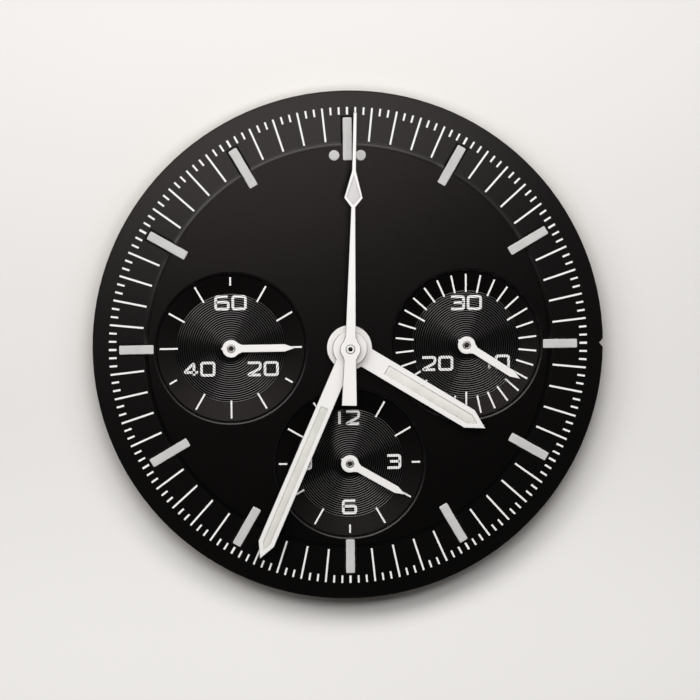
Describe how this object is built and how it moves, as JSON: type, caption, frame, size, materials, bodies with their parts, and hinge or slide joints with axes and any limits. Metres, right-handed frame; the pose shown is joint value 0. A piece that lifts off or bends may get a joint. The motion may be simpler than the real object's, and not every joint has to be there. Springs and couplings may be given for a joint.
{
  "type": "watch dial",
  "caption": "Round black chronograph dial with raised luminous hour markers, sunk ring-grooved subdials, white hands on open collets and pins at the back.",
  "frame": {"origin": "centre of the dial on its flat back, which seats on the movement", "axes": "+Z out of the face, +Y from the centre to 12 o'clock, +X to 3 o'clock"},
  "size_m": [0.0335, 0.0334, 0.0038],
  "materials": {
    "dial_black": "satin black lacquer on brass",
    "subdial_black": "black, fine ring-turned",
    "print_white": "pad-printed white ink",
    "marker_lume": "matt luminous paint",
    "hand_white": "semi-gloss white paint on brass",
    "hand_lume": "matt luminous paint",
    "collet_steel": "turned metal",
    "foot_copper": "bare copper"
  },
  "bodies": {
    "dial": {"dial_plate": "dial_black", "running_seconds_subdial": "subdial_black", "minute_counter_subdial": "subdial_black", "hour_counter_subdial": "subdial_black", "minute_track": "print_white", "running_seconds_scale": "print_white", "minute_counter_scale": "print_white", "hour_counter_scale": "print_white", "hour_marker_01": "marker_lume", "hour_marker_02": "marker_lume", "hour_marker_03": "marker_lume", "hour_marker_04": "marker_lume", "hour_marker_05": "marker_lume", "hour_marker_06": "marker_lume", "hour_marker_07": "marker_lume", "hour_marker_08": "marker_lume", "hour_marker_09": "marker_lume", "hour_marker_10": "marker_lume", "hour_marker_11": "marker_lume", "hour_marker_12": "marker_lume", "twelve_dot_left": "marker_lume", "twelve_dot_right": "marker_lume", "dial_foot_1": "foot_copper", "dial_foot_2": "foot_copper"},
    "hour_hand": {"hour_hand": "hand_white", "hour_hand_lume": "hand_lume", "hour_hand_tube": "collet_steel"},
    "minute_hand": {"minute_hand": "hand_white", "minute_hand_lume": "hand_lume", "minute_hand_tube": "collet_steel"},
    "chronograph_hand": {"chronograph_hand": "hand_white", "chronograph_hand_lume": "hand_lume", "chronograph_hand_tube": "collet_steel"},
    "running_seconds_hand": {"running_seconds_hand": "hand_white", "running_seconds_hand_tube": "collet_steel"},
    "minute_counter_hand": {"minute_counter_hand": "hand_white", "minute_counter_hand_tube": "collet_steel"},
    "hour_counter_hand": {"hour_counter_hand": "hand_white", "hour_counter_hand_tube": "collet_steel"}
  },
  "joints": [
    {"name": "hour_hand_turn", "type": "hinge", "parent": "dial", "child": "hour_hand", "pos_m": [0, 0, 0.00052], "axis": [0, 0, -1], "continuous": true},
    {"name": "minute_hand_turn", "type": "hinge", "parent": "dial", "child": "minute_hand", "pos_m": [0, 0, 0.00115], "axis": [0, 0, -1], "continuous": true},
    {"name": "chronograph_hand_turn", "type": "hinge", "parent": "dial", "child": "chronograph_hand", "pos_m": [0, 0, 0.00163], "axis": [0, 0, -1], "continuous": true},
    {"name": "running_seconds_hand_turn", "type": "hinge", "parent": "dial", "child": "running_seconds_hand", "pos_m": [-0.00772, 0, 0.0003], "axis": [0, 0, -1], "continuous": true},
    {"name": "minute_counter_hand_turn", "type": "hinge", "parent": "dial", "child": "minute_counter_hand", "pos_m": [0.00772, 0, 0.0003], "axis": [0, 0, -1], "continuous": true},
    {"name": "hour_counter_hand_turn", "type": "hinge", "parent": "dial", "child": "hour_counter_hand", "pos_m": [0, -0.00772, 0.0003], "axis": [0, 0, -1], "continuous": true}
  ],
  "couplings": [
    {"joint": "hour_hand_turn", "follows": "minute_hand_turn", "ratio": 0.083333}
  ]
}
